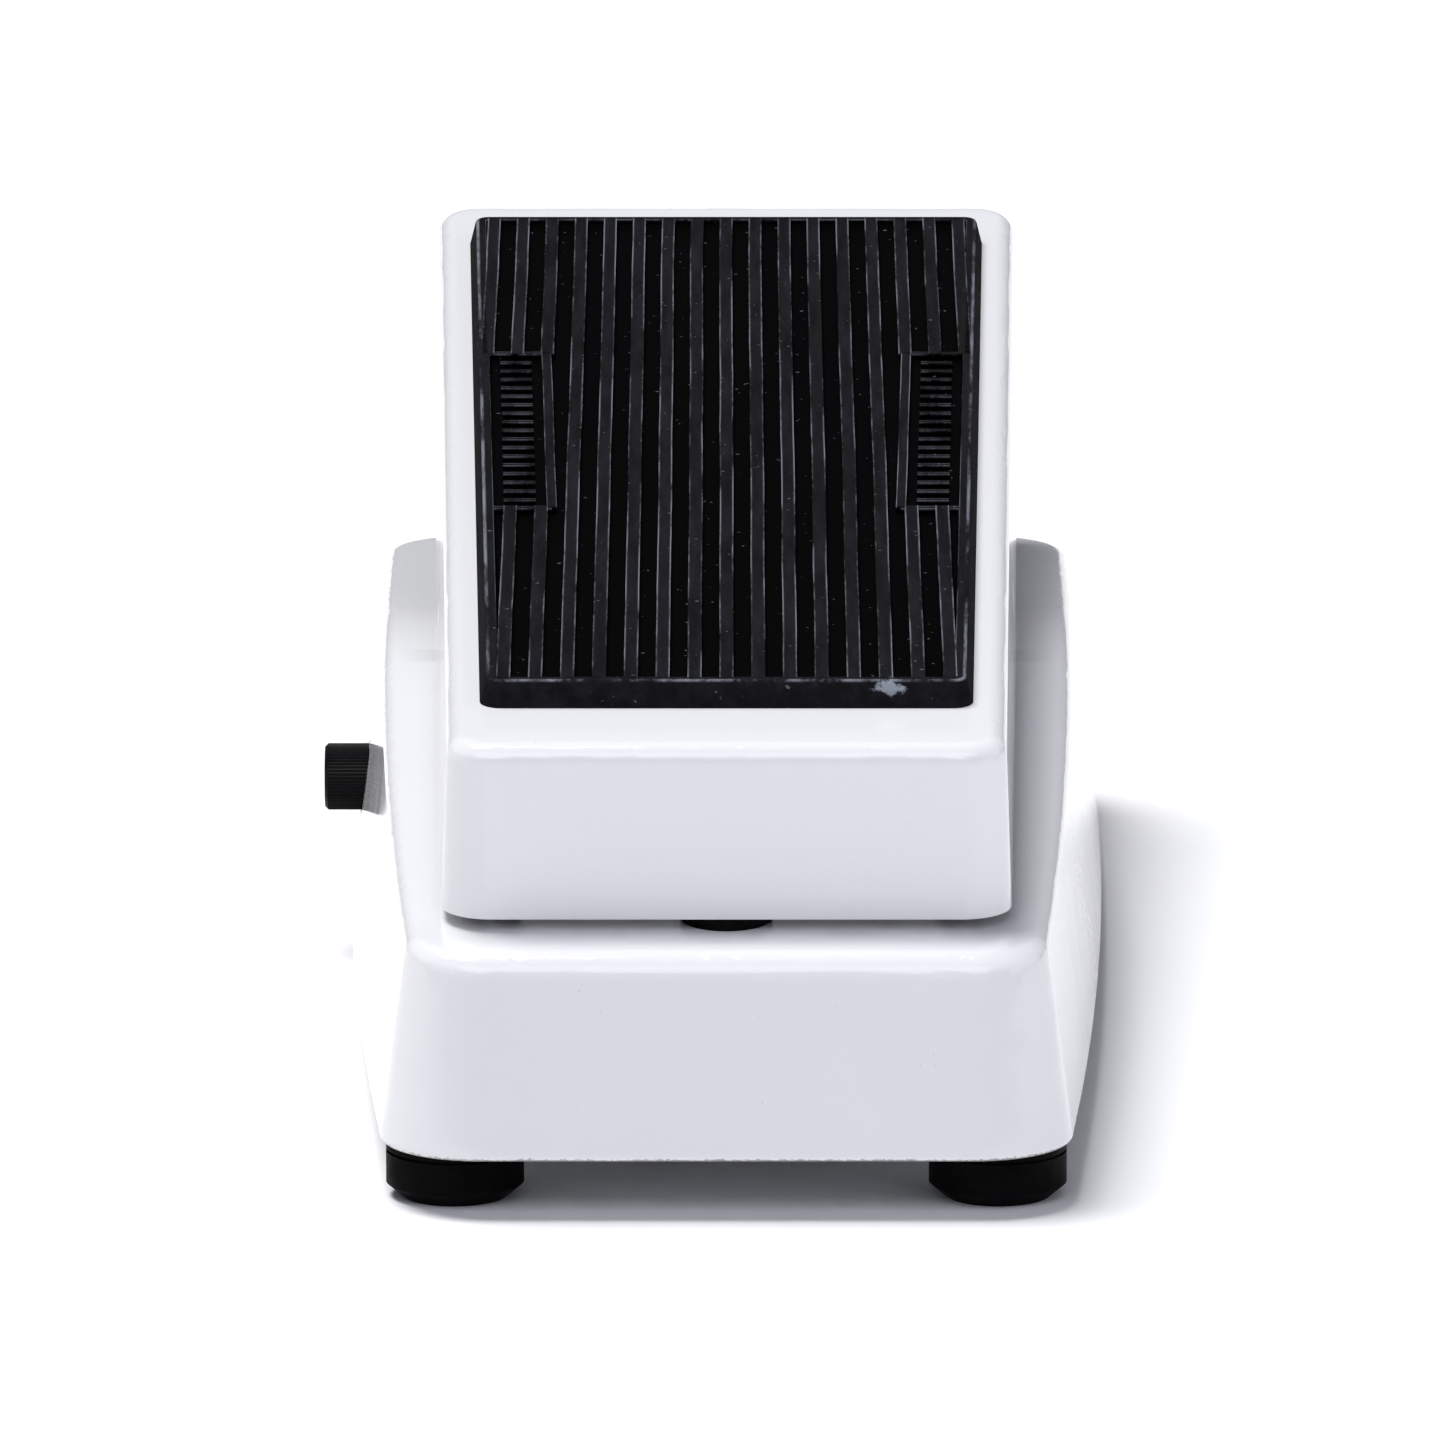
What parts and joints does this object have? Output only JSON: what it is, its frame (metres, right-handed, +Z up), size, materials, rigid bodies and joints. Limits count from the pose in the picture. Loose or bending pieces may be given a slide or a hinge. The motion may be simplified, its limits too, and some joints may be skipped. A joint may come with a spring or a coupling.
{
  "type": "volume pedal",
  "caption": "White cast rocker volume pedal with a ribbed rubber tread, a side level knob and rack-driven potentiometer.",
  "frame": {"origin": "on the floor, under the middle of the base", "axes": "+Y from the heel end to the toe end, +Z up, +X to the right of the player"},
  "size_m": [0.1058, 0.2518, 0.0875],
  "materials": {
    "white_enamel": "gloss enamel",
    "zinc_sheet": "zinc plated",
    "foot_rubber": "matt",
    "bumper_rubber": "matt",
    "pad_rubber": "satin",
    "screw_steel": "zinc plated",
    "ground_steel": "ground",
    "white_nylon": "natural",
    "nickel_plate": "bright",
    "pot_can": "tinned",
    "track_laminate": "matt",
    "wiper_plastic": "matt",
    "pot_shaft": "turned",
    "knob_black": "satin",
    "jack_black": "gloss",
    "tinned_tags": "tinned",
    "wire_insulation": "satin"
  },
  "bodies": {
    "base": {"housing": "white_enamel", "base_plate": "zinc_sheet", "foot_heel_left": "foot_rubber", "foot_heel_right": "foot_rubber", "foot_toe_left": "foot_rubber", "foot_toe_right": "foot_rubber", "foot_screws": "screw_steel", "pivot_bushings": "white_nylon", "heel_bumper": "bumper_rubber", "toe_bumper": "bumper_rubber", "main_pot_bracket": "zinc_sheet", "main_pot_bracket_screws": "screw_steel", "level_pot_bracket": "zinc_sheet", "level_pot_bracket_screws": "screw_steel", "main_pot_bushing": "nickel_plate", "main_pot_can": "pot_can", "main_pot_track": "track_laminate", "main_pot_washer": "nickel_plate", "main_pot_nut": "nickel_plate", "level_pot_bushing": "nickel_plate", "level_pot_can": "pot_can", "level_pot_track": "track_laminate", "level_pot_washer": "nickel_plate", "level_pot_nut": "nickel_plate", "rack_guide": "white_nylon", "rack_guide_screws": "screw_steel", "input_jack": "jack_black", "input_jack_nut": "nickel_plate", "input_jack_washer": "nickel_plate", "input_jack_tags": "tinned_tags", "output_jack": "jack_black", "output_jack_nut": "nickel_plate", "output_jack_washer": "nickel_plate", "output_jack_tags": "tinned_tags", "hookup_wires": "wire_insulation"},
    "treadle": {"treadle": "white_enamel", "tread_pad": "pad_rubber", "pivot_rod": "ground_steel", "pivot_set_screws": "screw_steel", "rack_pin": "ground_steel", "rack_clip": "screw_steel"},
    "rack": {"gear_rack": "white_nylon"},
    "pot_rotor": {"pinion": "white_nylon", "pinion_set_screw": "screw_steel", "main_pot_shaft": "pot_shaft", "main_pot_wiper": "wiper_plastic"},
    "level_control": {"side_knob": "knob_black", "level_pot_shaft": "pot_shaft", "level_pot_wiper": "wiper_plastic"}
  },
  "joints": [
    {"name": "treadle_rock", "type": "hinge", "parent": "base", "child": "treadle", "pos_m": [0, 0, 0.053], "axis": [-1, 0, 0], "range_deg": [0, 10]},
    {"name": "rack_slide", "type": "slide", "parent": "base", "child": "rack", "axis": [0, 0, -1], "range_m": [0, 0.01059]},
    {"name": "pot_turn", "type": "hinge", "parent": "base", "child": "pot_rotor", "pos_m": [0, 0.05163, 0.02275], "axis": [-1, 0, 0], "range_deg": [0, 112.36]},
    {"name": "knob_turn", "type": "hinge", "parent": "base", "child": "level_control", "pos_m": [-0.0542, 0.024, 0.0237], "axis": [-1, 0, 0], "range_deg": [-150, 150]}
  ],
  "couplings": [
    {"joint": "rack_slide", "follows": "treadle_rock", "m_per_rad": 0.060669},
    {"joint": "pot_turn", "follows": "treadle_rock", "ratio": 11.235}
  ]
}
